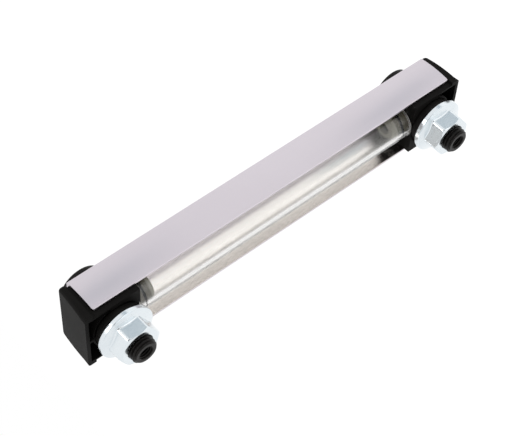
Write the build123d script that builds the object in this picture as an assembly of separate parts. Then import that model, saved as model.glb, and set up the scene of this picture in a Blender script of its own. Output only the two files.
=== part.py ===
"""Tank level gauge: a clear sight tube between two moulded end blocks, under an aluminium cover.

Frame, in millimetres: +Z runs up the gauge, +Y points through the tank wall, Y = 0 is the outer
face of that wall, and the origin lies midway between the two hollow bolts.
"""
import os
from math import cos, radians, sin, tan

from build123d import *

# --- the hollow bolts and where they pass through the tank wall ---
BOLT_SPACING = 176.0          # centre distance of the two bolts
BOLT_RADIUS = 6.0             # M12 thread, major radius
BOLT_END_Y = 14.5             # free end of the thread, on the tank side
BOLT_END_CHAMFER = 1.0
BOLT_BORE_RADIUS = 3.25       # oil way along the bolt
CROSS_HOLE_RADIUS = 2.0       # oil ways out of the bolt's waist
WAIST_RADIUS = 4.9
WAIST_LENGTH = 7.2
HEAD_RADIUS = 10.0
HEAD_HEIGHT = 5.7
HEAD_ROUND = 1.0
SOCKET_ACROSS_FLATS = 8.0
SOCKET_DEPTH = 4.2
BORE_CLEARANCE = 0.2          # round the bolt in the blocks, the seals and the nuts

# --- flange nuts ---
NUT_HEIGHT = 10.8
NUT_ACROSS_FLATS = 18.0
FLANGE_RADIUS = 13.0
FLANGE_RIM = 2.1
FLANGE_STEP = 0.4             # the cone starts this far inside the rim
FLANGE_CONE_ANGLE = 25.0
NUT_CHAMFER_ANGLE = 30.0
NUT_TURN = {"upper": 1.0, "lower": 6.0}   # how far each nut happens to be turned

# --- aluminium cover, a channel open towards the tank ---
COVER_OVERHANG = 10.7         # from each bolt's axis to the cover's end, when it sits midway
COVER_SHIFT = 0.85            # the cover has this much play, and has slid down by it
COVER_WIDTH = 33.0            # across the bulge of its side walls
COVER_DEPTH = 17.3
COVER_BACK_Y = -6.2           # free edges of its side walls
COVER_WALL = 1.2
COVER_BULGE = 0.75            # the side walls curve inwards this much at front and back
COVER_CORNER = 1.0
COVER_INNER_CORNER = 0.4
COVER_EDGE_ROUND = 0.35
COVER_END_ROUND = 0.8
COVER_HOLE_RADIUS = 8.0       # takes the seal under each bolt head
WINDOW_MARGIN = 24.0          # from each bolt's axis to the window's end
WINDOW_WIDTH = 15.0

# --- end blocks ---
BLOCK_SHOULDER = 4.1          # thickness at the rim of the end that stands proud of the cover's end
BLOCK_END_DRAFT = 4.5         # degrees by which the end face leans in towards the front
BLOCK_INNER_REACH = 11.2      # from the bolt axis to the face that the tube butts on
BLOCK_RIM_Y = -3.4            # rim of the open back
BLOCK_WALL = 1.7              # end wall beyond the pockets
BLOCK_SIDE_WALL = 2.3         # beside the pockets, at the shoulder
BLOCK_CORNER = 2.3
BLOCK_EDGE_ROUND = 1.5
COVER_SIDE_GAP = 0.15         # between the cover's side walls and the blocks
COVER_END_GAP = 0.25          # between the cover's ends and the blocks' shoulders
POCKET_DEPTH = 9.0
BOSS_RADIUS = 12.2
BOSS_FACE_DROP = 0.9          # boss face below the rim
RIB_THICKNESS = 1.2
CHAMBER_RADIUS = 7.6          # oil gallery round the bolt's waist
SPIGOT_LENGTH = 9.4
SPIGOT_BORE_RADIUS = 3.0
SPIGOT_NOSE = 1.3

# --- sight tube and its O-rings ---
TUBE_RADIUS = 8.5
TUBE_WALL = 2.0
TUBE_Y = -12.35               # axis of the tube
TUBE_END_GAP = 0.1
SPIGOT_CLEARANCE = 0.12       # between the spigot and the tube's bore
TUBE_SEAL_OFFSET = 4.15       # from the block's inner face to the groove's middle
TUBE_SEAL_SECTION = 1.5
TUBE_GROOVE_DEPTH = 1.3
SEAL_ROUND = 0.42             # corner radius of a squeezed ring, as a share of its thickness

# --- seals at the bolts ---
WALL_SEAL_SECTION = 5.2       # ring between the block's boss and the tank wall
WALL_SEAL_WIDTH = 5.0
HEAD_SEAL_RECESS = 1.4        # how deep the ring under the head sits in the block

# --- values that follow ---
bolt_z = BOLT_SPACING / 2
cover_front_y = COVER_BACK_Y - COVER_DEPTH
cover_half_width = COVER_WIDTH / 2
cover_top_z = bolt_z + COVER_OVERHANG - COVER_SHIFT
cover_bottom_z = -bolt_z - COVER_OVERHANG - COVER_SHIFT
window_length = BOLT_SPACING - 2 * WINDOW_MARGIN
block_front_y = cover_front_y + COVER_WALL
block_half_width = cover_half_width - COVER_WALL - COVER_SIDE_GAP
block_inner_z = bolt_z - BLOCK_INNER_REACH
shoulder_z = COVER_END_GAP - cover_bottom_z
block_outer_z = shoulder_z + BLOCK_SHOULDER
boss_face_y = BLOCK_RIM_Y - BOSS_FACE_DROP
bolt_hole_radius = BOLT_RADIUS + BORE_CLEARANCE
tube_bore_radius = TUBE_RADIUS - TUBE_WALL
spigot_radius = tube_bore_radius - SPIGOT_CLEARANCE
wall_seal_outer = bolt_hole_radius + WALL_SEAL_WIDTH
groove_bottom_radius = tube_bore_radius - TUBE_GROOVE_DEPTH


def wall_plane(y):
    """A sketch plane parallel to the tank wall, looking along +Y."""
    return Plane(origin=(0, y, 0), x_dir=(1, 0, 0), z_dir=(0, 1, 0))


def disc(radius, y_from, y_to, z=0):
    """A cylinder along Y."""
    return Pos(0, 0, z) * extrude(wall_plane(y_from) * Circle(radius), amount=y_to - y_from)


def rod(radius, z_from, z_to):
    """A cylinder along Z on the tube's axis."""
    return extrude(Plane((0, TUBE_Y, z_from)) * Circle(radius), amount=z_to - z_from)


def squeezed_ring(axis, inner, outer, start, thickness):
    """A rubber ring squeezed between two faces: rounded outside, flat where it bears."""
    width = outer - inner
    corner = SEAL_ROUND * min(width, thickness)
    middle = (inner + outer) / 2
    if axis == Axis.Y:
        section = Plane.XY * Pos(middle, start + thickness / 2) * RectangleRounded(width, thickness, corner)
        return revolve(section, axis=Axis.Y)
    section = Plane.XZ * Pos(middle, start + thickness / 2) * RectangleRounded(width, thickness, corner)
    return Pos(0, TUBE_Y, 0) * revolve(section, axis=Axis.Z)


def channel_section(half_width, front_y, back_y, rim_y, corner):
    """A solid section whose sides bow outwards to half_width and run straight from back_y to rim_y."""
    side = half_width - COVER_BULGE
    middle_y = (front_y + back_y) / 2
    outline = Polyline((side, back_y), (side, rim_y), (-side, rim_y), (-side, back_y))
    outline += ThreePointArc((-side, back_y), (-half_width, middle_y), (-side, front_y))
    outline += Line((-side, front_y), (side, front_y))
    outline += ThreePointArc((side, front_y), (half_width, middle_y), (side, back_y))
    face = make_face(outline)
    return fillet(face.vertices().group_by(Axis.Y)[0], corner)


def make_cover():
    outer = channel_section(cover_half_width, cover_front_y, COVER_BACK_Y, COVER_BACK_Y + 1, COVER_CORNER)
    inner = channel_section(cover_half_width - COVER_WALL, cover_front_y + COVER_WALL,
                            COVER_BACK_Y, COVER_BACK_Y + 2, COVER_INNER_CORNER)
    behind = Pos(0, COVER_BACK_Y + 2) * Rectangle(2 * COVER_WIDTH, 4)
    section = outer - inner - behind
    section = fillet(section.vertices().group_by(Axis.Y)[-1], COVER_EDGE_ROUND)
    cover = extrude(Pos(0, 0, cover_bottom_z) * section, amount=cover_top_z - cover_bottom_z)

    corner_cut = Rectangle(COVER_END_ROUND, COVER_END_ROUND, align=(Align.MIN, Align.MIN))
    corner_cut -= Circle(COVER_END_ROUND)
    for end, end_z in ((1, cover_top_z), (-1, cover_bottom_z)):
        place = Plane((-COVER_WIDTH, COVER_BACK_Y - COVER_END_ROUND, end_z - end * COVER_END_ROUND),
                      x_dir=(0, 1, 0), z_dir=(end, 0, 0))
        cover -= extrude(place * corner_cut, amount=2 * COVER_WIDTH * end, both=True)
        cover -= disc(COVER_HOLE_RADIUS, cover_front_y - 1, block_front_y + 1, end * bolt_z)
    window = wall_plane(cover_front_y - 1) * Rot(0, 0, 90) * SlotOverall(window_length, WINDOW_WIDTH)
    return cover - extrude(window, amount=COVER_WALL + 2)


def make_upper_block():
    """The end block at the top; the lower one is its mirror image."""
    body_section = channel_section(block_half_width, block_front_y, COVER_BACK_Y, BLOCK_RIM_Y, COVER_INNER_CORNER)
    block = extrude(Pos(0, 0, block_inner_z) * body_section, amount=shoulder_z + BLOCK_EDGE_ROUND / 2 - block_inner_z)
    shoulder_section = channel_section(cover_half_width, cover_front_y, COVER_BACK_Y, BLOCK_RIM_Y, BLOCK_CORNER)
    shoulder = extrude(Pos(0, 0, shoulder_z) * shoulder_section, amount=block_outer_z - shoulder_z)
    draft = radians(BLOCK_END_DRAFT)
    end_plane = Plane((0, BLOCK_RIM_Y, block_outer_z), x_dir=(1, 0, 0), z_dir=(0, -sin(draft), cos(draft)))
    shoulder = split(shoulder, bisect_by=end_plane, keep=Keep.BOTTOM)
    end_edges = shoulder.faces().sort_by(Axis.Z)[-1].edges().sort_by(Axis.Y)[:-1]
    block += fillet(end_edges, BLOCK_EDGE_ROUND)

    # pockets at the two outer corners, either side of the rib that ties the boss to the end wall
    pocket_floor_y = BLOCK_RIM_Y - POCKET_DEPTH
    pocket_end_z = block_outer_z - BLOCK_WALL
    pocket_half_width = cover_half_width - COVER_BULGE - BLOCK_SIDE_WALL
    pocket_start_z = bolt_z + BOSS_RADIUS / 4
    pocket = extrude(wall_plane(pocket_floor_y) * Rectangle(2 * pocket_half_width, pocket_end_z - pocket_start_z),
                     amount=POCKET_DEPTH + 1)
    pocket = Pos(0, 0, (pocket_start_z + pocket_end_z) / 2) * pocket
    pocket -= disc(BOSS_RADIUS, pocket_floor_y - 1, BLOCK_RIM_Y + 2, bolt_z)
    pocket -= Pos(0, (pocket_floor_y + BLOCK_RIM_Y) / 2 + 1, bolt_z + BOSS_RADIUS) * Box(
        RIB_THICKNESS, POCKET_DEPTH + 4, 2 * BOSS_RADIUS)
    block -= pocket

    # boss face, seats of the two bolt seals, bolt hole and the oil gallery round the bolt's waist
    block -= disc(BOSS_RADIUS, boss_face_y, BLOCK_RIM_Y + 1, bolt_z)
    block -= disc(wall_seal_outer + BORE_CLEARANCE, -WALL_SEAL_SECTION, boss_face_y + 1, bolt_z)
    block -= disc(COVER_HOLE_RADIUS, block_front_y - 1, block_front_y + HEAD_SEAL_RECESS, bolt_z)
    block -= disc(bolt_hole_radius, cover_front_y - 1, BLOCK_RIM_Y + 1, bolt_z)
    block -= disc(CHAMBER_RADIUS, TUBE_Y - WAIST_LENGTH / 2, TUBE_Y + WAIST_LENGTH / 2, bolt_z)

    # spigot that carries the tube, with its O-ring groove and oil way
    nose_z = block_inner_z - SPIGOT_LENGTH
    spigot = rod(spigot_radius, nose_z, block_inner_z)
    spigot = chamfer(spigot.edges().sort_by(Axis.Z)[0], SPIGOT_NOSE)
    groove_z = block_inner_z - TUBE_SEAL_OFFSET - TUBE_SEAL_SECTION / 2
    groove = rod(spigot_radius + 1, groove_z, groove_z + TUBE_SEAL_SECTION)
    groove -= rod(groove_bottom_radius, groove_z, groove_z + TUBE_SEAL_SECTION)
    return block + (spigot - groove) - rod(SPIGOT_BORE_RADIUS, nose_z - 1, bolt_z)


def make_tube():
    half_length = block_inner_z - TUBE_END_GAP
    return rod(TUBE_RADIUS, -half_length, half_length) - rod(tube_bore_radius, -half_length, half_length)


def make_tube_seal():
    start = block_inner_z - TUBE_SEAL_OFFSET - TUBE_SEAL_SECTION / 2
    return squeezed_ring(Axis.Z, groove_bottom_radius, tube_bore_radius, start, TUBE_SEAL_SECTION)


def make_bolt():
    """A hollow bolt on the Y axis: round head at the front, oil bore open at the tank end."""
    head = disc(HEAD_RADIUS, cover_front_y - HEAD_HEIGHT, cover_front_y)
    head = fillet(head.edges().sort_by(Axis.Y)[0], HEAD_ROUND)
    socket = wall_plane(cover_front_y - HEAD_HEIGHT) * RegularPolygon(
        SOCKET_ACROSS_FLATS / 2, 6, major_radius=False)
    shank = disc(BOLT_RADIUS, cover_front_y, BOLT_END_Y)
    shank = chamfer(shank.edges().sort_by(Axis.Y)[-1], BOLT_END_CHAMFER)
    waist_from = TUBE_Y - WAIST_LENGTH / 2
    waist_to = TUBE_Y + WAIST_LENGTH / 2
    bolt = head + shank - extrude(socket, amount=SOCKET_DEPTH)
    bolt -= disc(BOLT_RADIUS + 1, waist_from, waist_to) - disc(WAIST_RADIUS, waist_from, waist_to)
    bolt -= disc(BOLT_BORE_RADIUS, waist_from, BOLT_END_Y + 1)
    cross = Pos(0, TUBE_Y, 0) * Cylinder(CROSS_HOLE_RADIUS, 4 * BOLT_RADIUS)
    return bolt - cross - Pos(0, TUBE_Y, 0) * Rot(0, 90, 0) * Cylinder(CROSS_HOLE_RADIUS, 4 * BOLT_RADIUS)


def make_head_seal():
    return squeezed_ring(Axis.Y, bolt_hole_radius, COVER_HOLE_RADIUS, cover_front_y,
                         COVER_WALL + HEAD_SEAL_RECESS)


def make_wall_seal():
    return squeezed_ring(Axis.Y, bolt_hole_radius, wall_seal_outer, -WALL_SEAL_SECTION, WALL_SEAL_SECTION)


def make_nut(turn):
    """A hexagon flange nut on the Y axis, seated at Y = 0."""
    half_flats = NUT_ACROSS_FLATS / 2
    cone_radius = FLANGE_RADIUS - FLANGE_STEP
    cone_rise = (cone_radius - BOLT_RADIUS) * tan(radians(FLANGE_CONE_ANGLE))
    flange = Polyline((0, 0), (FLANGE_RADIUS, 0), (FLANGE_RADIUS, FLANGE_RIM), (cone_radius, FLANGE_RIM),
                      (BOLT_RADIUS, FLANGE_RIM + cone_rise), (0, FLANGE_RIM + cone_rise), close=True)
    flange = revolve(make_face(flange), axis=Axis.Y)

    hexagon = wall_plane(0) * RegularPolygon(half_flats, 6, major_radius=False, rotation=30 + turn)
    hexagon = extrude(hexagon, amount=NUT_HEIGHT)
    outer = FLANGE_RADIUS
    crown_drop = (outer - half_flats) * tan(radians(NUT_CHAMFER_ANGLE))
    crown = Polyline((0, 0), (outer, 0), (outer, NUT_HEIGHT - crown_drop), (half_flats, NUT_HEIGHT),
                     (0, NUT_HEIGHT), close=True)
    nut = flange + (hexagon & revolve(make_face(crown), axis=Axis.Y))
    return nut - disc(bolt_hole_radius, -1, NUT_HEIGHT + 1)


def export(node, shape):
    """Write one node's solid, which carries its name."""
    solids = shape.solids()
    solid = solids[0] if len(solids) == 1 else Compound(children=solids)
    solid.label = node
    export_step(solid, f"parts/{node}.step")


os.makedirs("parts", exist_ok=True)
export("cover_channel", make_cover())
export("sight_tube", make_tube())

upper_block = make_upper_block()
tube_seal = make_tube_seal()
for side, level in (("upper", 1), ("lower", -1)):
    at_bolt = Pos(0, 0, level * bolt_z)
    export(f"{side}_end_block", upper_block if level > 0 else mirror(upper_block, about=Plane.XY))
    export(f"{side}_tube_seal", tube_seal if level > 0 else mirror(tube_seal, about=Plane.XY))
    export(f"{side}_hollow_bolt", at_bolt * make_bolt())
    export(f"{side}_head_seal", at_bolt * make_head_seal())
    export(f"{side}_wall_seal", at_bolt * make_wall_seal())
    export(f"{side}_flange_nut", at_bolt * make_nut(NUT_TURN[side]))
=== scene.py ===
# %% [markdown]
# # A tank level gauge
#
# The gauge is bolted to the wall of an oil tank. Oil enters through the lower hollow bolt and
# stands in the clear tube as high as it stands in the tank. An aluminium channel covers the tube,
# and two black end blocks join the tube to the bolts. This lesson dresses the solid parts of the
# gauge: it lights them, gives each one its finish, cuts the cover's window, and builds the
# threaded bolts and the flange nuts in full.

# %% Load the solid parts
import math

import bmesh
import bpy
from mathutils import Matrix, Vector


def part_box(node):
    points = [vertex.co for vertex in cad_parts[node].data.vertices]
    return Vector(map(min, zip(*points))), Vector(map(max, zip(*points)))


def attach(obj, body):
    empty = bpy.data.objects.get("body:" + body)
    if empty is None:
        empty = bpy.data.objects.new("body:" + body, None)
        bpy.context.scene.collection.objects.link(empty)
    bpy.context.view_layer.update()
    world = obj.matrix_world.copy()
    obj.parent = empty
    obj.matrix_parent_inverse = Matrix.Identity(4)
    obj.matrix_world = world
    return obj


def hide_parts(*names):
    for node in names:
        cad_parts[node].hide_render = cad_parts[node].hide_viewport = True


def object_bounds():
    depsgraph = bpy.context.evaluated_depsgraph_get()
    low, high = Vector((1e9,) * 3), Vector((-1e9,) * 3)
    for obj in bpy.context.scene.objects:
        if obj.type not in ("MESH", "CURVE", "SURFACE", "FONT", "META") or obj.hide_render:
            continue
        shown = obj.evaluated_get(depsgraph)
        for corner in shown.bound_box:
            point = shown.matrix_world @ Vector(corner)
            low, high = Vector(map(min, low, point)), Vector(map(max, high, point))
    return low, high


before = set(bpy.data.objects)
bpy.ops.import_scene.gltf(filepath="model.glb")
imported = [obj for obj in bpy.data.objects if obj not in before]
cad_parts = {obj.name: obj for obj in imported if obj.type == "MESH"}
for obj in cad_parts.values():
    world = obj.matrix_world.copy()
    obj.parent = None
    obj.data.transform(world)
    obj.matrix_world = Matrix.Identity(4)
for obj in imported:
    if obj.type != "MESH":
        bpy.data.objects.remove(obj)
solid_box = [list(corner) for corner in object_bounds()]
print("solid parts:", ", ".join(sorted(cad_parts)))

# %% [markdown]
# ## The camera
#
# A long lens far from the part keeps its edges nearly parallel. The camera is placed by angles
# around the part, as one walks round a table: azimuth, elevation, then a roll that lays the gauge
# across the picture. Angles are easier to read and change than a rotation matrix.

# %% Place the camera
MM = 0.001
CAMERA_AZIMUTH = 240.15
CAMERA_ELEVATION = 25.6
CAMERA_ROLL = -123.22
CAMERA_DISTANCE = 626.6 * MM
CAMERA_TARGET = Vector((-0.17, -7.94, 7.95)) * MM
CAMERA_LENS = 101.29
NEAR_CLIP = 10 * MM


def view_axes(azimuth, elevation):
    """Level right, up and backward directions of a camera that looks at the part. The angles are
    in degrees; azimuth 0 looks along +Y."""
    azimuth, elevation = math.radians(azimuth), math.radians(elevation)
    back = Vector((math.sin(azimuth) * math.cos(elevation),
                   -math.cos(azimuth) * math.cos(elevation),
                   math.sin(elevation)))
    right = Vector((math.cos(azimuth), math.sin(azimuth), 0))
    return right, back.cross(right), back


camera_data = bpy.data.cameras.new("gauge_camera")
camera_data.lens = CAMERA_LENS
camera_data.clip_start = NEAR_CLIP
camera = bpy.data.objects.new("gauge_camera", camera_data)
bpy.context.scene.collection.objects.link(camera)
right, up, back = view_axes(CAMERA_AZIMUTH, CAMERA_ELEVATION)
level_turn = Matrix((right, up, back)).transposed()
roll = Matrix.Rotation(math.radians(CAMERA_ROLL), 4, "Z")
camera.matrix_world = (Matrix.Translation(CAMERA_TARGET + back * CAMERA_DISTANCE)
                       @ level_turn.to_4x4() @ roll)
bpy.context.scene.camera = camera
bpy.context.scene.view_settings.view_transform = "Standard"
print("camera stands at", [round(x, 3) for x in camera.matrix_world.translation])

# %% [markdown]
# ## Light and background
#
# Bright metal shows its surroundings more than its own colour, so the surroundings come first.
# Rays that reach the camera, or that a gloss or a clear part sends on, see a white sky. Light that
# falls on matt surfaces comes from the same sky at a lower level, and from soft lamps.

# %% Make a white sky
SKY_FILL = 0.75


def link(tree, source, target):
    tree.links.new(source, target)


def math_node(tree, operation, first, second=None, third=None):
    """A Math node whose inputs are numbers or other nodes' sockets; returns its output."""
    node = tree.nodes.new("ShaderNodeMath")
    node.operation = operation
    for socket, value in zip(node.inputs, (first, second, third)):
        if isinstance(value, bpy.types.NodeSocket):
            link(tree, value, socket)
        elif value is not None:
            socket.default_value = value
    return node.outputs[0]


def seen_directly(tree):
    """1 for camera, gloss and transmission rays, 0 for light that falls on matt surfaces."""
    path = tree.nodes.new("ShaderNodeLightPath")
    sent_on = math_node(tree, "MAXIMUM", path.outputs["Is Glossy Ray"],
                        path.outputs["Is Transmission Ray"])
    return math_node(tree, "MAXIMUM", path.outputs["Is Camera Ray"], sent_on)


world = bpy.data.worlds.new("white_studio")
bpy.context.scene.world = world
world.use_nodes = True
sky = world.node_tree
sky_light = sky.nodes["Background"]
sky_light.inputs["Color"].default_value = (1, 1, 1, 1)
sky_level = math_node(sky, "MULTIPLY_ADD", seen_directly(sky), 1 - SKY_FILL, SKY_FILL)
link(sky, sky_level, sky_light.inputs["Strength"])
print("the sky gives", SKY_FILL, "of its white to matt surfaces")

# %% [markdown]
# ## Lamps
#
# A lamp adds to the white sky behind it, so a strong one would burn out the bright cover. All three
# are weak. The tube lamp is seen by the clear tube alone: neither gloss nor matt surfaces take
# anything from it.

# %% Hang the soft lamps


def soft_lamp(name, azimuth, elevation, distance, size, watts):
    """A square lamp that faces the part from the given side, in degrees and metres."""
    data = bpy.data.lights.new(name, "AREA")
    data.shape = "SQUARE"
    data.size = size
    data.energy = watts
    lamp = bpy.data.objects.new(name, data)
    bpy.context.scene.collection.objects.link(lamp)
    side, over, toward = view_axes(azimuth, elevation)
    turn = Matrix((side, over, toward)).transposed().to_4x4()
    lamp.matrix_world = Matrix.Translation(toward * distance) @ turn
    return lamp


soft_lamp("key_lamp", azimuth=316, elevation=51, distance=1.0, size=0.3, watts=1.3)
soft_lamp("side_lamp", azimuth=215, elevation=-15, distance=1.0, size=0.5, watts=0.6)
tube_lamp = soft_lamp("tube_lamp", azimuth=305, elevation=-20, distance=0.5, size=0.6, watts=0.75)
tube_lamp.visible_glossy = False
tube_lamp.visible_diffuse = False
print("lamps:", ", ".join(sorted(lamp.name for lamp in bpy.data.lights)))

# %% [markdown]
# ## The floor
#
# The gauge hangs on a tank wall, so the floor lies a quarter of a metre below it. It is one large
# plain sheet that glows a little where it is seen, so that it stays white and still catches a soft
# shadow.

# %% Lay the floor
FLOOR_DROP = 0.25
FLOOR_SIZE = 3.0
FLOOR_PALE = (0.85, 0.85, 0.85)
FLOOR_ROUGHNESS = 0.9
FLOOR_GLOW = 0.4


def plain_material(name):
    """A new node material, its tree and its main shader node."""
    material = bpy.data.materials.new(name)
    material.use_nodes = True
    return material, material.node_tree, material.node_tree.nodes["Principled BSDF"]


def new_piece(name, mesh):
    piece = bpy.data.objects.new(name, mesh)
    bpy.context.scene.collection.objects.link(piece)
    return piece


floor_mesh = bpy.data.meshes.new("studio_floor")
floor_level = solid_box[0][2] - FLOOR_DROP
half = FLOOR_SIZE / 2
floor_mesh.from_pydata([(-half, -half, floor_level), (half, -half, floor_level),
                        (half, half, floor_level), (-half, half, floor_level)],
                       [], [(0, 1, 2, 3)])
floor = new_piece("studio_floor", floor_mesh)
floor_paint, tree, shader = plain_material("studio_floor_paint")
shader.inputs["Base Color"].default_value = (*FLOOR_PALE, 1)
shader.inputs["Roughness"].default_value = FLOOR_ROUGHNESS
shader.inputs["Specular IOR Level"].default_value = 0.0
shader.inputs["Emission Color"].default_value = (1, 1, 1, 1)
glow = math_node(tree, "MULTIPLY", seen_directly(tree), FLOOR_GLOW)
link(tree, glow, shader.inputs["Emission Strength"])
floor_mesh.materials.append(floor_paint)
print("the floor lies at", round(floor_level, 3))

# %% [markdown]
# ## Cards
#
# A bright nut in an all-white studio loses its shape, because every face shows the same white.
# Studio work mends that with cards. Here a small grey one stands close to each nut, where the
# nut's flat mirrors it, and a large dark one stands on the camera's side. Only gloss sees these
# cards, so they neither show in the picture nor shade the part.

# %% Hang the cards
NUT_CARD_COLOUR = (0.50, 0.57, 0.62)
NUT_CARD_SIZE = 0.042
NUT_CARD_DISTANCE = 0.15
DARK_COLOUR = (0.03, 0.03, 0.035)


def card(name, around, azimuth, elevation, distance, width, height, colour):
    """A flat card that faces a point of the part, given in millimetres, and glows with one colour.
    Gloss alone sees it."""
    side, over, toward = view_axes(azimuth, elevation)
    middle = Vector(around) * MM + toward * distance
    mesh = bpy.data.meshes.new(name)
    corners = [(-1, -1), (1, -1), (1, 1), (-1, 1)]
    mesh.from_pydata([middle + side * x * width / 2 + over * y * height / 2 for x, y in corners],
                     [], [(0, 1, 2, 3)])
    paint, tree, shader = plain_material(name + "_paint")
    shader.inputs["Base Color"].default_value = (0, 0, 0, 1)
    shader.inputs["Specular IOR Level"].default_value = 0.0
    shader.inputs["Emission Color"].default_value = (*colour, 1)
    shader.inputs["Emission Strength"].default_value = 1.0
    mesh.materials.append(paint)
    piece = new_piece(name, mesh)
    piece.visible_camera = False
    piece.visible_diffuse = False
    piece.visible_shadow = False
    piece.visible_transmission = False


card("upper_grey_card", (-9, 7, 88), 298.4, -17.1, NUT_CARD_DISTANCE,
     NUT_CARD_SIZE, NUT_CARD_SIZE, NUT_CARD_COLOUR)
card("lower_grey_card", (-9, 7, -88), 295.8, -22.6, NUT_CARD_DISTANCE,
     NUT_CARD_SIZE, NUT_CARD_SIZE, NUT_CARD_COLOUR)
card("dark_card", (0, 0, 0), CAMERA_AZIMUTH, CAMERA_ELEVATION, distance=0.66,
     width=0.7, height=0.5, colour=DARK_COLOUR)
print("the nuts' cards are", round(NUT_CARD_SIZE / MM), "mm wide")

# %% [markdown]
# ## Shared surface effects
#
# Three effects turn up in several finishes, so each is a node group with named inputs. "Fine grain"
# is the even texture of a mould or a plated surface. "Drawn lines" are the faint marks that a die
# leaves along a profile. "Handling" is the large, soft unevenness of a surface that has been
# touched.

# %% Build the node groups
LINE_STRETCH = 0.012


def effect_group(name, inputs, outputs):
    """An empty shader group with those float inputs and outputs, and its two end nodes."""
    group = bpy.data.node_groups.new(name, "ShaderNodeTree")
    for label, value in inputs.items():
        socket = group.interface.new_socket(label, in_out="INPUT", socket_type="NodeSocketFloat")
        socket.default_value = value
    for label in outputs:
        group.interface.new_socket(label, in_out="OUTPUT", socket_type="NodeSocketFloat")
    return group, group.nodes.new("NodeGroupInput"), group.nodes.new("NodeGroupOutput")


def part_coordinates(tree, scale=(1, 1, 1)):
    """The place on the part, in metres, stretched by scale."""
    place = tree.nodes.new("ShaderNodeTexCoord")
    stretch = tree.nodes.new("ShaderNodeMapping")
    stretch.inputs["Scale"].default_value = scale
    link(tree, place.outputs["Object"], stretch.inputs["Vector"])
    return stretch.outputs["Vector"]


def noise(tree, where, scale, detail):
    node = tree.nodes.new("ShaderNodeTexNoise")
    node.inputs["Detail"].default_value = detail
    link(tree, where, node.inputs["Vector"])
    link(tree, scale, node.inputs["Scale"])
    return node.outputs["Fac"]


fine_grain, ends_in, ends_out = effect_group(
    "fine_grain", {"Grains per metre": 3000.0, "Softness": 0.3}, ["Mask"])
grain = noise(fine_grain, part_coordinates(fine_grain), ends_in.outputs["Grains per metre"], 3.0)
low = math_node(fine_grain, "SUBTRACT", 0.5, ends_in.outputs["Softness"])
high = math_node(fine_grain, "ADD", 0.5, ends_in.outputs["Softness"])
spread = fine_grain.nodes.new("ShaderNodeMapRange")
link(fine_grain, grain, spread.inputs["Value"])
link(fine_grain, low, spread.inputs["From Min"])
link(fine_grain, high, spread.inputs["From Max"])
link(fine_grain, spread.outputs["Result"], ends_out.inputs["Mask"])

drawn_lines, ends_in, ends_out = effect_group(
    "drawn_lines", {"Lines per metre": 2600.0}, ["Mask"])
lines = noise(drawn_lines, part_coordinates(drawn_lines, (1, 1, LINE_STRETCH)),
              ends_in.outputs["Lines per metre"], 2.0)
link(drawn_lines, lines, ends_out.inputs["Mask"])

handling, ends_in, ends_out = effect_group("handling", {"Patches per metre": 35.0}, ["Mask"])
patches = noise(handling, part_coordinates(handling), ends_in.outputs["Patches per metre"], 4.0)
link(handling, patches, ends_out.inputs["Mask"])
print("effects:", fine_grain.name, drawn_lines.name, handling.name)

# %% [markdown]
# ## Tools for the finishes
#
# Every finish is put together from a few small steps: place a group, turn its mask into a range of
# numbers or a mix of colours, and raise the surface a little by it. A mask can also come from the
# place on the part, which tells an inside from an outside.

# %% Small steps that the finishes share


def use_group(tree, group, **values):
    """Places a group in a material, with its own values, and returns its first output."""
    node = tree.nodes.new("ShaderNodeGroup")
    node.node_tree = group
    for label, value in values.items():
        node.inputs[label.replace("_", " ")].default_value = value
    return node.outputs[0]


def between(tree, mask, low, high):
    """Turns a 0 to 1 mask into numbers from low to high."""
    node = tree.nodes.new("ShaderNodeMapRange")
    node.inputs["To Min"].default_value = low
    node.inputs["To Max"].default_value = high
    link(tree, mask, node.inputs["Value"])
    return node.outputs["Result"]


def ramp(tree, value, start, end):
    """Turns a place into a 0 to 1 mask that rises from start to end."""
    node = tree.nodes.new("ShaderNodeMapRange")
    node.inputs["From Min"].default_value = start
    node.inputs["From Max"].default_value = end
    link(tree, value, node.inputs["Value"])
    return node.outputs["Result"]


def tint(tree, mask, low, high):
    """Mixes two colours by a mask. Each one is three numbers or another node's socket."""
    node = tree.nodes.new("ShaderNodeMix")
    node.data_type = "RGBA"
    for label, colour in (("A", low), ("B", high)):
        if isinstance(colour, bpy.types.NodeSocket):
            link(tree, colour, node.inputs[label])
        else:
            node.inputs[label].default_value = (*colour, 1)
    link(tree, mask, node.inputs["Factor"])
    return node.outputs["Result"]


def bump(tree, shader, height, depth, strength=1.0):
    """Raises a surface by a mask; depth is in metres."""
    node = tree.nodes.new("ShaderNodeBump")
    node.inputs["Distance"].default_value = depth
    node.inputs["Strength"].default_value = strength
    link(tree, height, node.inputs["Height"])
    link(tree, node.outputs["Normal"], shader.inputs["Normal"])


def place_axes(tree):
    """The X, Y and Z of the place on the part, in metres."""
    split = tree.nodes.new("ShaderNodeSeparateXYZ")
    link(tree, part_coordinates(tree), split.inputs["Vector"])
    return split.outputs["X"], split.outputs["Y"], split.outputs["Z"]


def both_of(tree, first, second):
    """1 where both masks are 1."""
    return math_node(tree, "MULTIPLY", first, second)


# %% [markdown]
# ## Anodised aluminium
#
# The cover is drawn or rolled, then anodised: a satin metal with faint lines along its length and a
# slight lilac cast from the oxide layer. It is a full metal, so its base colour is what it
# reflects. Inside the channel light goes to and fro between the walls and gathers there. A mask on
# the place makes the inside smoother and paints that light into its colour: a beige cast that is a
# painted reflection of the creamy tube, and, deep in the channel, painted light that makes it
# brighter than the outside.

# %% Anodised aluminium
COVER_WALL = 1.2 * MM
SIDE_MARGIN = 0.1 * MM
FRONT_MARGIN = 0.6 * MM
BACK_MARGIN = 0.05 * MM
OUTSIDE_COLOURS = ((0.62, 0.578, 0.622), (0.67, 0.627, 0.672))
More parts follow.
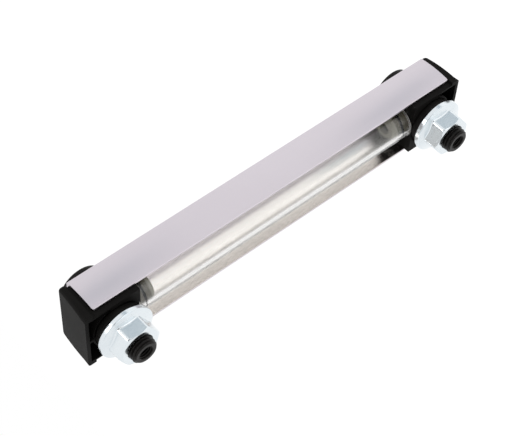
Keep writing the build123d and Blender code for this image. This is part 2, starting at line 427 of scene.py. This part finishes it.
# painted light: beige painted reflection of the tube near the back, near-white painted light deep
# in the channel
PAINTED_INSIDE_LIGHT_COLOURS = ((0.58, 0.545, 0.51), (0.95, 0.925, 0.90))
DEPTH_RAMP = (-10.5 * MM, -12.5 * MM)
INSIDE_SMOOTHER = 0.18

anodised, tree, shader = plain_material("anodised_aluminium")
uneven = use_group(tree, handling, Patches_per_metre=22.0)
lines = use_group(tree, drawn_lines, Lines_per_metre=3200.0)
x, y, _ = place_axes(tree)
cover_low, cover_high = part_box("cover_channel")
clear_of_side = math_node(tree, "LESS_THAN", math_node(tree, "ABSOLUTE", x),
                          cover_high.x - COVER_WALL + SIDE_MARGIN)
clear_of_front = math_node(tree, "GREATER_THAN", y, cover_low.y + COVER_WALL + FRONT_MARGIN)
clear_of_back = math_node(tree, "LESS_THAN", y, cover_high.y - BACK_MARGIN)
inside = both_of(tree, clear_of_side, both_of(tree, clear_of_front, clear_of_back))
# painted light: the inside turns from a painted reflection of the tube to near white, painted light
# gathered in the channel
painted_inner_light = tint(tree, ramp(tree, y, *DEPTH_RAMP), *PAINTED_INSIDE_LIGHT_COLOURS)
colour = tint(tree, inside, tint(tree, uneven, *OUTSIDE_COLOURS), painted_inner_light)
link(tree, colour, shader.inputs["Base Color"])
shader.inputs["Metallic"].default_value = 1.0
gloss = between(tree, lines, 0.30, 0.42)
link(tree, math_node(tree, "MULTIPLY_ADD", inside, -INSIDE_SMOOTHER, gloss),
     shader.inputs["Roughness"])
bump(tree, shader, lines, 0.002 * MM)
print("cover's walls are", round(COVER_WALL / MM, 2), "mm thick")

# %% [markdown]
# ## Black nylon
#
# The end blocks are moulded in glass-filled nylon. The mould leaves a fine matt grain, and the
# fibres make the gloss uneven from place to place. Each block has a spigot that stands inside the
# clear tube, among pale reflections. A mask on the place paints light on the spigots: a lighter
# colour than the rest, which stands in for the light and reflections that reach them through the
# tube, an olive grey on the nose, and a darker one behind it.

# %% Black nylon
SPIGOT_ROOT = 76.75 * MM
SPIGOT_NOSE = 67.3 * MM
SPIGOT_REACH = 6.6 * MM
NOSE_RAMP = (69.3 * MM, 69.9 * MM)
# painted light: these lighter colours stand in for light and reflections reaching the spigots
# through the tube
PAINTED_SPIGOT_LIGHT_COLOURS = ((0.34, 0.33, 0.28), (0.15, 0.14, 0.11))
NYLON_COLOURS = ((0.005, 0.0046, 0.0042), (0.011, 0.0104, 0.0098))

nylon, tree, shader = plain_material("black_nylon")
tube_low, tube_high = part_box("sight_tube")
tube_middle = (tube_low.y + tube_high.y) / 2
x, y, z = place_axes(tree)
height = math_node(tree, "ABSOLUTE", z)
past_nose = math_node(tree, "GREATER_THAN", height, SPIGOT_NOSE)
before_root = math_node(tree, "LESS_THAN", height, SPIGOT_ROOT)
from_axis = math_node(tree, "SUBTRACT", y, tube_middle)
squares = math_node(tree, "MULTIPLY_ADD", x, x, math_node(tree, "MULTIPLY", from_axis, from_axis))
reach = math_node(tree, "POWER", squares, 0.5)
in_tube = math_node(tree, "LESS_THAN", reach, SPIGOT_REACH)
spigot = both_of(tree, in_tube, both_of(tree, past_nose, before_root))
# painted light on the spigot, olive grey on the nose and darker behind it
painted_spigot_light = tint(tree, ramp(tree, height, *NOSE_RAMP), *PAINTED_SPIGOT_LIGHT_COLOURS)
grain = use_group(tree, fine_grain, Grains_per_metre=3500.0, Softness=0.25)
uneven = use_group(tree, handling, Patches_per_metre=60.0)
colour = tint(tree, spigot, tint(tree, uneven, *NYLON_COLOURS), painted_spigot_light)
link(tree, colour, shader.inputs["Base Color"])
link(tree, between(tree, uneven, 0.48, 0.66), shader.inputs["Roughness"])
shader.inputs["Specular IOR Level"].default_value = 0.06
bump(tree, shader, grain, 0.02 * MM, 0.6)
print("spigots reach from", round(SPIGOT_NOSE / MM, 1), "to", round(SPIGOT_ROOT / MM, 1), "mm")

# %% [markdown]
# ## Clear tube
#
# The tube is extruded clear plastic with a slightly warm cast. Its wall bends light, so what lies
# behind it looks shifted, and a light haze from handling softens what shows through. The sawn ends
# are more matt still, which a mask on the height along the tube gives.

# %% Clear tube
TUBE_COLOUR = (1.0, 0.996, 0.985)
TUBE_INDEX = 1.49
TUBE_END_FROST = 0.35 * MM
END_ROUGHER = 0.4

clear, tree, shader = plain_material("clear_tube")
shader.inputs["Base Color"].default_value = (*TUBE_COLOUR, 1)
shader.inputs["Transmission Weight"].default_value = 1.0
shader.inputs["IOR"].default_value = TUBE_INDEX
_, _, z = place_axes(tree)
at_end = math_node(tree, "GREATER_THAN", math_node(tree, "ABSOLUTE", z),
                   tube_high.z - TUBE_END_FROST)
uneven = use_group(tree, handling, Patches_per_metre=40.0)
wall_gloss = between(tree, uneven, 0.15, 0.20)
link(tree, math_node(tree, "MULTIPLY_ADD", at_end, END_ROUGHER, wall_gloss),
     shader.inputs["Roughness"])
bump(tree, shader, use_group(tree, drawn_lines, Lines_per_metre=500.0), 0.001 * MM)
print("tube is", round((tube_high.z - tube_low.z) / MM, 1), "mm long")

# %% [markdown]
# ## Nitrile rubber
#
# The O-rings and the seals are black rubber: matt, a little brown, and faintly dusty with talc.

# %% Nitrile rubber
RUBBER_COLOURS = ((0.006, 0.0056, 0.0052), (0.012, 0.011, 0.010))

rubber, tree, shader = plain_material("nitrile_rubber")
grain = use_group(tree, fine_grain, Grains_per_metre=5000.0, Softness=0.3)
uneven = use_group(tree, handling, Patches_per_metre=150.0)
link(tree, tint(tree, uneven, *RUBBER_COLOURS), shader.inputs["Base Color"])
link(tree, between(tree, uneven, 0.45, 0.7), shader.inputs["Roughness"])
shader.inputs["Specular IOR Level"].default_value = 0.15
bump(tree, shader, grain, 0.01 * MM, 0.5)

# %% [markdown]
# ## Black steel
#
# The hollow bolts are blackened steel: a dark oxide over metal that swallows most of the light, so
# only a weak, fairly sharp gloss is left. The colour is a little lighter on worn spots.

# %% Black steel
BLACK_STEEL_COLOURS = ((0.008, 0.0075, 0.007), (0.020, 0.018, 0.017))

black_steel, tree, shader = plain_material("black_steel")
grain = use_group(tree, fine_grain, Grains_per_metre=4000.0, Softness=0.3)
uneven = use_group(tree, handling, Patches_per_metre=220.0)
link(tree, tint(tree, uneven, *BLACK_STEEL_COLOURS), shader.inputs["Base Color"])
shader.inputs["Metallic"].default_value = 0.2
shader.inputs["Specular IOR Level"].default_value = 0.12
link(tree, between(tree, uneven, 0.22, 0.38), shader.inputs["Roughness"])
bump(tree, shader, grain, 0.006 * MM, 0.5)

# %% [markdown]
# ## Zinc plating
#
# The nuts are zinc plated and passivated, which gives a bright bluish white metal with a soft
# grain.

# %% Zinc plating
ZINC_COLOURS = ((0.70, 0.76, 0.80), (0.82, 0.86, 0.88))

zinc, tree, shader = plain_material("zinc_steel")
grain = use_group(tree, fine_grain, Grains_per_metre=2500.0, Softness=0.35)
uneven = use_group(tree, handling, Patches_per_metre=120.0)
link(tree, tint(tree, uneven, *ZINC_COLOURS), shader.inputs["Base Color"])
shader.inputs["Metallic"].default_value = 1.0
link(tree, between(tree, grain, 0.16, 0.30), shader.inputs["Roughness"])
bump(tree, shader, grain, 0.004 * MM, 0.5)
print("dark finishes:", nylon.name, rubber.name, black_steel.name)
print("bright finishes:", anodised.name, zinc.name, clear.name)

# %% [markdown]
# ## Dress the solid parts
#
# Most of the solid parts are good as they are and only need their finish. The ending of a part's
# name tells which one it gets.

# %% Give the solid parts their finishes
FINISHES = {
    "cover_channel": anodised,
    "sight_tube": clear,
    "end_block": nylon,
    "tube_seal": rubber,
    "head_seal": rubber,
    "wall_seal": rubber,
}
for name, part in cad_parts.items():
    for ending, finish in FINISHES.items():
        if name.endswith(ending):
            part.data.materials.clear()
            part.data.materials.append(finish)
            print(name, "is", finish.name)

# %% [markdown]
# ## Tools for meshes
#
# A solid part's mesh is loose triangles, so a copy is merged before it is worked on. The last step
# for every mesh built here is the same: weld it, point its faces outwards, and shade it smooth
# but for its sharp edges. A closed mesh has no open edges, and the count tells.

# %% Merge a copy, and finish a mesh
COPY_WELD = 0.001 * MM
MESH_WELD = 0.0005 * MM
SHARP_ANGLE = 32.0


def merged_copy(name, node):
    """A copy of a solid part's mesh, with its loose triangles joined."""
    mesh = bmesh.new()
    mesh.from_mesh(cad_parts[node].data)
    bmesh.ops.remove_doubles(mesh, verts=mesh.verts, dist=COPY_WELD)
    data = bpy.data.meshes.new(name)
    mesh.to_mesh(data)
    mesh.free()
    return new_piece(name, data)


def crisp(data):
    """Points the faces of a closed mesh outwards, and shades it smooth with sharp edges."""
    mesh = bmesh.new()
    mesh.from_mesh(data)
    bmesh.ops.remove_doubles(mesh, verts=mesh.verts, dist=MESH_WELD)
    bmesh.ops.recalc_face_normals(mesh, faces=mesh.faces)
    if mesh.calc_volume(signed=True) < 0:
        bmesh.ops.reverse_faces(mesh, faces=mesh.faces)
    for face in mesh.faces:
        face.smooth = True
    open_edges = 0
    limit = math.radians(SHARP_ANGLE)
    for edge in mesh.edges:
        open_edges += len(edge.link_faces) != 2
        edge.smooth = len(edge.link_faces) == 2 and edge.calc_face_angle() < limit
    volume = mesh.calc_volume() / MM ** 3
    mesh.to_mesh(data)
    mesh.free()
    print(f"{data.name}: {len(data.polygons)} faces, {volume:.0f} cubic mm, "
          f"{open_edges} open edges")


# %% [markdown]
# ## The cover's window
#
# The window is a slot with round ends, in the wall that faces away from the tank. The solid cover
# has a narrower and shorter one. Here the slot is a little wider than the tube and ends just short
# of the blocks, so that daylight falls on almost the whole clear length. A Boolean modifier cuts it
# out of a copy of the solid cover.

# %% Cut the long window
WINDOW_SIDE = 9.2
WINDOW_END = 75.0
WINDOW_STEPS = 24
CUT_BEFORE = 2 * MM
CUT_BEHIND = 4 * MM


def slot_cutter(name, half_width, half_length, low_y, high_y):
    """A slot-shaped block: a long bar with round ends, through the front wall."""
    mesh = bmesh.new()
    outline = []
    for end in (1, -1):
        for step in range(WINDOW_STEPS + 1):
            angle = math.pi * step / WINDOW_STEPS
            outline.append((end * half_width * math.cos(angle),
                            end * (half_length - half_width + half_width * math.sin(angle))))
    near, far = [[mesh.verts.new((x * MM, y, z * MM)) for x, z in outline]
                 for y in (low_y, high_y)]
    mesh.faces.new(near)
    mesh.faces.new(far)
    for here, there in zip(range(len(outline)), [*range(1, len(outline)), 0]):
        mesh.faces.new((near[here], near[there], far[there], far[here]))
    bmesh.ops.recalc_face_normals(mesh, faces=mesh.faces)
    data = bpy.data.meshes.new(name)
    mesh.to_mesh(data)
    mesh.free()
    return new_piece(name, data)


cover = merged_copy("windowed_cover", "cover_channel")
cutter = slot_cutter("slot_cutter", WINDOW_SIDE, WINDOW_END,
                     cover_low.y - CUT_BEFORE, cover_low.y + CUT_BEHIND)
cut = cover.modifiers.new("window", "BOOLEAN")
cut.object = cutter
cut.solver = "EXACT"
graph = bpy.context.evaluated_depsgraph_get()
cut_mesh = bpy.data.meshes.new_from_object(cover.evaluated_get(graph))
cover.modifiers.clear()
cover.data = cut_mesh
cut_mesh.name = "windowed_cover"
bpy.data.objects.remove(cutter)
cut_mesh.materials.clear()
cut_mesh.materials.append(anodised)
crisp(cut_mesh)
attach(cover, "root")
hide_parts("cover_channel")
print("the window is", 2 * WINDOW_SIDE, "by", 2 * WINDOW_END, "mm")

# %% [markdown]
# ## Turned parts
#
# Bolts and nuts come off a lathe, so both are drawn as a section that turns about an axis. Here the
# section may change with the angle, which also gives hexagons: at each angle the flat lies at its
# own distance, and the chamfers and cones cut it at their own height, as they do on the real part.

# %% A lathe for sections that may change with the angle
SEGMENTS = 144
LONGEST_REACH = 0.4
FLAT_END = 0.04
FLAT_SHARE = 0.05


def eased(points, radius, steps=5):
    """The section with each corner rounded. A short straight stretch at both ends of every curve
    keeps the smooth shading on the curve and the long faces flat."""
    result = [points[0]]
    for before, corner, after in zip(points, points[1:], points[2:]):
        corner = Vector(corner)
        start = Vector(before) - corner
        end = Vector(after) - corner
        reach = min(radius, LONGEST_REACH * start.length, LONGEST_REACH * end.length)
        first = corner + start.normalized() * reach
        last = corner + end.normalized() * reach
        result.append(tuple(first + start.normalized() * min(FLAT_END, FLAT_SHARE * start.length)))
        for step in range(steps):
            t = step / (steps - 1)
            result.append(tuple(first * (1 - t) ** 2 + corner * 2 * t * (1 - t) + last * t ** 2))
        result.append(tuple(last + end.normalized() * min(FLAT_END, FLAT_SHARE * end.length)))
    return result + [points[-1]]


def turned(name, section_at, closed=False, centre=(0, 0, 0), turn=0.0):
    """A mesh about the Y axis. section_at gives (y, radius) points in millimetres at an angle."""
    mesh = bmesh.new()
    rings = []
    for segment in range(SEGMENTS):
        angle = 2 * math.pi * segment / SEGMENTS
        around = angle + turn
        rings.append([mesh.verts.new((MM * r * math.cos(around) + centre[0],
                                      MM * y + centre[1],
                                      -MM * r * math.sin(around) + centre[2]))
                      for y, r in section_at(angle)])
    count = len(rings[0])
    for segment in range(SEGMENTS):
        here, there = rings[segment], rings[(segment + 1) % SEGMENTS]
        for row in range(count if closed else count - 1):
            following = (row + 1) % count
            mesh.faces.new((here[row], there[row], there[following], here[following]))
    bmesh.ops.remove_doubles(mesh, verts=mesh.verts, dist=MESH_WELD)
    data = bpy.data.meshes.new(name)
    mesh.to_mesh(data)
    mesh.free()
    return data


def hexagon_radius(across_flats, angle, corner=0.25):
    """Distance from the centre to a hexagon's outline at an angle, with its corners slightly
    blunted."""
    off_middle = (angle + math.pi / 6) % (math.pi / 3) - math.pi / 6
    sharp = across_flats / 2 / math.cos(off_middle)
    return min(sharp, across_flats / 2 / math.cos(math.pi / 6) - corner)


# %% [markdown]
# ## The thread
#
# A thread is one groove that follows a helix, so a rule gives its whole surface: take a grid, wrap
# it round the axis, and let the radius rise and fall with the distance along the axis less the
# share of a turn. Geometry Nodes hold that rule, with the pitch and the diameter as named inputs,
# so the same tree threads any bolt.

# %% The thread as Geometry Nodes
SHANK_RADIUS = 6.0
THREAD_START = -3.0
BOLT_END = 14.5
END_CHAMFER = 1.0
THREAD_INPUTS = {
    "Major radius": SHANK_RADIUS * MM,
    "Pitch": 1.5 * MM,
    "Depth": 0.92 * MM,
    "Start": THREAD_START * MM,
    "End": BOLT_END * MM,
    "End chamfer": END_CHAMFER * MM,
}
ROWS_PER_PITCH = 14
ROOT_ENDS = 0.2
CREST_STARTS = 0.86
THREAD_WELD = 0.002 * MM

thread_tree = bpy.data.node_groups.new("threaded_bolt", "GeometryNodeTree")
thread_tree.is_modifier = True
face = thread_tree.interface
face.new_socket("Geometry", in_out="INPUT", socket_type="NodeSocketGeometry")
for label, value in THREAD_INPUTS.items():
    socket = face.new_socket(label, in_out="INPUT", socket_type="NodeSocketFloat")
    socket.default_value = value
face.new_socket("Rows", in_out="INPUT", socket_type="NodeSocketInt")
face.new_socket("Place", in_out="INPUT", socket_type="NodeSocketVector")
face.new_socket("Finish", in_out="INPUT", socket_type="NodeSocketMaterial")
face.new_socket("Geometry", in_out="OUTPUT", socket_type="NodeSocketGeometry")
given = thread_tree.nodes.new("NodeGroupInput").outputs


def step_node(kind):
    return thread_tree.nodes.new(kind)


def feed(source, target):
    link(thread_tree, source, target)


def rule(operation, first, second=None, third=None):
    """One step of the thread's arithmetic."""
    return math_node(thread_tree, operation, first, second, third)


grid = step_node("GeometryNodeMeshGrid")
grid.inputs["Size X"].default_value = 1.0
grid.inputs["Size Y"].default_value = 1.0
grid.inputs["Vertices X"].default_value = SEGMENTS + 1
feed(given["Rows"], grid.inputs["Vertices Y"])
position = step_node("GeometryNodeInputPosition")
share = step_node("ShaderNodeSeparateXYZ")
feed(position.outputs["Position"], share.inputs["Vector"])
turn_share = rule("ADD", share.outputs["X"], 0.5)
length_share = rule("ADD", share.outputs["Y"], 0.5)
length = rule("SUBTRACT", given["End"], given["Start"])
along = rule("MULTIPLY_ADD", length_share, length, given["Start"])

pitches = rule("DIVIDE", along, given["Pitch"])
phase = rule("FRACT", rule("SUBTRACT", pitches, turn_share))
from_root = rule("ABSOLUTE", rule("MULTIPLY_ADD", phase, 2.0, -1.0))
flank = step_node("ShaderNodeMapRange")
flank.inputs["From Min"].default_value = ROOT_ENDS
flank.inputs["From Max"].default_value = CREST_STARTS
feed(from_root, flank.inputs["Value"])

# the groove runs out over one pitch at the shank, and the end of the bolt is chamfered
past_start = rule("SUBTRACT", along, given["Start"])
runout = rule("MINIMUM", rule("DIVIDE", past_start, given["Pitch"]), 1.0)
groove = rule("MULTIPLY", rule("SUBTRACT", 1.0, flank.outputs["Result"]), given["Depth"])
radius = rule("SUBTRACT", given["Major radius"], rule("MULTIPLY", groove, runout))
to_end = rule("SUBTRACT", given["End"], along)
end_radius = rule("SUBTRACT", given["Major radius"], given["End chamfer"])
radius = rule("MINIMUM", radius, rule("ADD", end_radius, to_end))

angle = rule("MULTIPLY", turn_share, 2 * math.pi)
below = rule("MULTIPLY", radius, rule("SINE", angle))
wrapped = step_node("ShaderNodeCombineXYZ")
feed(rule("MULTIPLY", radius, rule("COSINE", angle)), wrapped.inputs["X"])
feed(along, wrapped.inputs["Y"])
feed(rule("MULTIPLY", below, -1.0), wrapped.inputs["Z"])
wrap = step_node("GeometryNodeSetPosition")
feed(grid.outputs["Mesh"], wrap.inputs["Geometry"])
feed(wrapped.outputs["Vector"], wrap.inputs["Position"])

join = step_node("GeometryNodeJoinGeometry")
feed(wrap.outputs["Geometry"], join.inputs["Geometry"])
feed(given["Geometry"], join.inputs["Geometry"])
weld = step_node("GeometryNodeMergeByDistance")
weld.inputs["Distance"].default_value = THREAD_WELD
feed(join.outputs["Geometry"], weld.inputs["Geometry"])
carry = step_node("GeometryNodeTransform")
feed(weld.outputs["Geometry"], carry.inputs["Geometry"])
feed(given["Place"], carry.inputs["Translation"])
paint = step_node("GeometryNodeSetMaterial")
feed(carry.outputs["Geometry"], paint.inputs["Geometry"])
feed(given["Finish"], paint.inputs["Material"])
result = step_node("NodeGroupOutput")
feed(paint.outputs["Geometry"], result.inputs["Geometry"])
print("thread rule has", len(thread_tree.nodes), "nodes")

# %% [markdown]
# ## The hollow bolts
#
# Each bolt is a tube with a low round head and a hexagon socket. Oil runs along its bore and out
# through its waist, the narrow part inside the end block. The lathe makes all but the thread, and
# leaves the mesh open where the thread joins. A few low rings stand in the mouth of the bore, as
# boring tools leave them.

# %% Build the bolts
HEAD_TOP = -29.2
HEAD_SEAT = -23.5
HEAD_RADIUS = 10.0
HEAD_ROUND = 1.0
HEAD_STEPS = 6
SHANK_ROUND = 0.15
SOCKET_ACROSS_FLATS = 8.0
SOCKET_BLUNT = 0.05
SOCKET_FLOOR = -25.0
SOCKET_CHAMFER = 0.35
SOCKET_MOUTH = 0.2
SOCKET_CONE = 0.6
WAIST = (-15.95, -8.75)
WAIST_RADIUS = 4.9
BORE_RADIUS = 3.25
BORE_CHAMFER = 0.35
BORE_RINGS = 5
FIRST_RING = 0.9
RING_PITCH = 1.1
RING_HEIGHT = 0.3
RING_FLANK = 0.25


def bolt_section(angle):
    socket = hexagon_radius(SOCKET_ACROSS_FLATS, angle, SOCKET_BLUNT)
    mouth = SOCKET_ACROSS_FLATS / 2 / math.cos(math.pi / 6) + SOCKET_MOUTH
    outside = eased([
        (THREAD_START, SHANK_RADIUS), (WAIST[1], SHANK_RADIUS), (WAIST[1], WAIST_RADIUS),
        (WAIST[0], WAIST_RADIUS), (WAIST[0], SHANK_RADIUS), (HEAD_SEAT, SHANK_RADIUS),
        (HEAD_SEAT, HEAD_RADIUS)], SHANK_ROUND)
    head = eased([(HEAD_SEAT, HEAD_RADIUS), (HEAD_TOP, HEAD_RADIUS), (HEAD_TOP, mouth)],
                 HEAD_ROUND, HEAD_STEPS)[1:]
    hole = [(HEAD_TOP + SOCKET_CHAMFER, socket), (SOCKET_FLOOR, socket),
            (SOCKET_FLOOR + SOCKET_CONE, 0.0)]
    return outside + head + hole


def bore_section(angle):
    """The bore from the bolt's end to its blind bottom; it is round, so no angle changes it."""
    mouth = [(BOLT_END, SHANK_RADIUS - END_CHAMFER), (BOLT_END, BORE_RADIUS + BORE_CHAMFER),
             (BOLT_END - BORE_CHAMFER, BORE_RADIUS)]
    rings = []
    for ring in range(BORE_RINGS):
        start = BOLT_END - FIRST_RING - ring * RING_PITCH
        rings += [(start, BORE_RADIUS),
                  (start - RING_FLANK, BORE_RADIUS - RING_HEIGHT),
                  (start - 2 * RING_FLANK, BORE_RADIUS - RING_HEIGHT),
                  (start - 3 * RING_FLANK, BORE_RADIUS)]
    return mouth + rings + [(WAIST[0], BORE_RADIUS), (WAIST[0], 0.0)]


def join_meshes(name, first, second):
    mesh = bmesh.new()
    mesh.from_mesh(first)
    mesh.from_mesh(second)
    joined = bpy.data.meshes.new(name)
    mesh.to_mesh(joined)
    mesh.free()
    return joined


def threaded_bolt(name, centre):
    """One bolt: the turned mesh, threaded by the nodes, then made a plain mesh."""
    blank = join_meshes(name, turned(name + "_blank", bolt_section),
                        turned(name + "_bore", bore_section))
    bolt = new_piece(name, blank)
    modifier = bolt.modifiers.new("thread", "NODES")
    modifier.node_group = thread_tree
    sockets = {item.name: item.identifier for item in thread_tree.interface.items_tree
               if item.in_out == "INPUT"}
    pitches = (BOLT_END - THREAD_START) * MM / THREAD_INPUTS["Pitch"]
    modifier[sockets["Rows"]] = round(pitches * ROWS_PER_PITCH)
    modifier[sockets["Place"]] = centre
    modifier[sockets["Finish"]] = black_steel
    graph = bpy.context.evaluated_depsgraph_get()
    finished = bpy.data.meshes.new_from_object(bolt.evaluated_get(graph))
    bolt.modifiers.clear()
    bolt.data = finished
    finished.name = name
    crisp(finished)
    return bolt


def bolt_axis(side):
    """Where the solid bolt's axis meets the wall plane."""
    low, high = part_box(side + "_hollow_bolt")
    return ((low.x + high.x) / 2, 0.0, (low.z + high.z) / 2)


for side in ("upper", "lower"):
    bolt = threaded_bolt(side + "_threaded_bolt", bolt_axis(side))
    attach(bolt, "root")
    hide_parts(side + "_hollow_bolt")

# %% [markdown]
# ## The flange nuts
#
# A flange nut is a hexagon on a cone. On the lathe its top corners are chamfered, so each flat ends
# in a curve, and the cone meets each flat in another curve. Both follow from the section at each
# angle. The two nuts were tightened to different turns, so their flats don't line up.

# %% Build the nuts
NUT_ACROSS_FLATS = 18.0
NUT_TOP = 10.8
NUT_ROUND = 0.4
NUT_BORE = 6.05
MOUTH_CHAMFER = 0.3
FOOT_CHAMFER = (0.6, 0.7)    # depth and width, where the nut meets the wall
FLANGE_RADIUS = 13.0
FLANGE_RIM = 2.1
RIM_STEP = 0.05
CONE_RADIUS = 12.6
CONE_SLOPE = math.tan(math.radians(25))
CROWN_SLOPE = math.tan(math.radians(30))
CROWN_INSET = 0.2
NUT_TURNS = {"upper": 1.0, "lower": 6.0}


def nut_section(angle):
    wall = hexagon_radius(NUT_ACROSS_FLATS, angle)
    foot = FLANGE_RIM + (CONE_RADIUS - wall) * CONE_SLOPE
    crown = NUT_TOP - (wall - NUT_ACROSS_FLATS / 2) * CROWN_SLOPE
    outside = eased([
        (0.0, NUT_BORE + FOOT_CHAMFER[1]), (0.0, FLANGE_RADIUS), (FLANGE_RIM, FLANGE_RADIUS),
        (FLANGE_RIM + RIM_STEP, CONE_RADIUS), (foot, wall), (crown, wall),
        (NUT_TOP, NUT_ACROSS_FLATS / 2 - CROWN_INSET), (NUT_TOP, NUT_BORE + MOUTH_CHAMFER),
        (NUT_TOP - MOUTH_CHAMFER, NUT_BORE)], NUT_ROUND)
    return outside + [(FOOT_CHAMFER[0], NUT_BORE)]


for side in ("upper", "lower"):
    turn = math.radians(NUT_TURNS[side])
    data = turned(side + "_plated_nut", nut_section, closed=True, centre=bolt_axis(side),
                  turn=turn)
    data.materials.append(zinc)
    crisp(data)
    nut = new_piece(side + "_plated_nut", data)
    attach(nut, "root")
    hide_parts(side + "_flange_nut")

# %% [markdown]
# ## Finish
#
# The dressed part must be the size of the solid parts; the solid parts' box is printed here.

# %% Print the solid parts' box
print("solid box  ", [[round(x, 4) for x in corner] for corner in solid_box])
